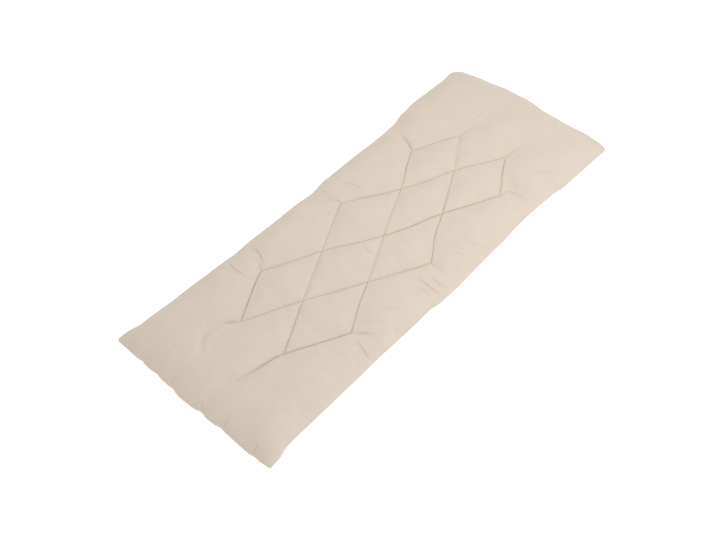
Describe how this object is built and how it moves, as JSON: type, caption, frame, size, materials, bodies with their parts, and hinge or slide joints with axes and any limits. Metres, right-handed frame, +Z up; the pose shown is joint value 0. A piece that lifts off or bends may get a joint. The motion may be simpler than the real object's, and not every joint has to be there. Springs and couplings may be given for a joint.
{
  "type": "quilted cradle mattress",
  "caption": "Thin filled cotton mattress pad for a cradle, lying flat, with a lattice of quilted diamonds in its middle and a hand-closed end.",
  "frame": {"origin": "middle of the pad's box, on the surface that it lies on", "axes": "+X across the pad, +Y along it away from the closing seam, +Z up through its thickness"},
  "size_m": [0.379, 0.933, 0.031],
  "materials": {
    "cover_cotton": "unbleached plain-weave cotton, soft, matt, slightly creased",
    "quilting_thread": "matt cotton sewing thread, a little browner than the cover"
  },
  "bodies": {
    "root": {"mattress_pad": "cover_cotton"}
  },
  "joints": []
}
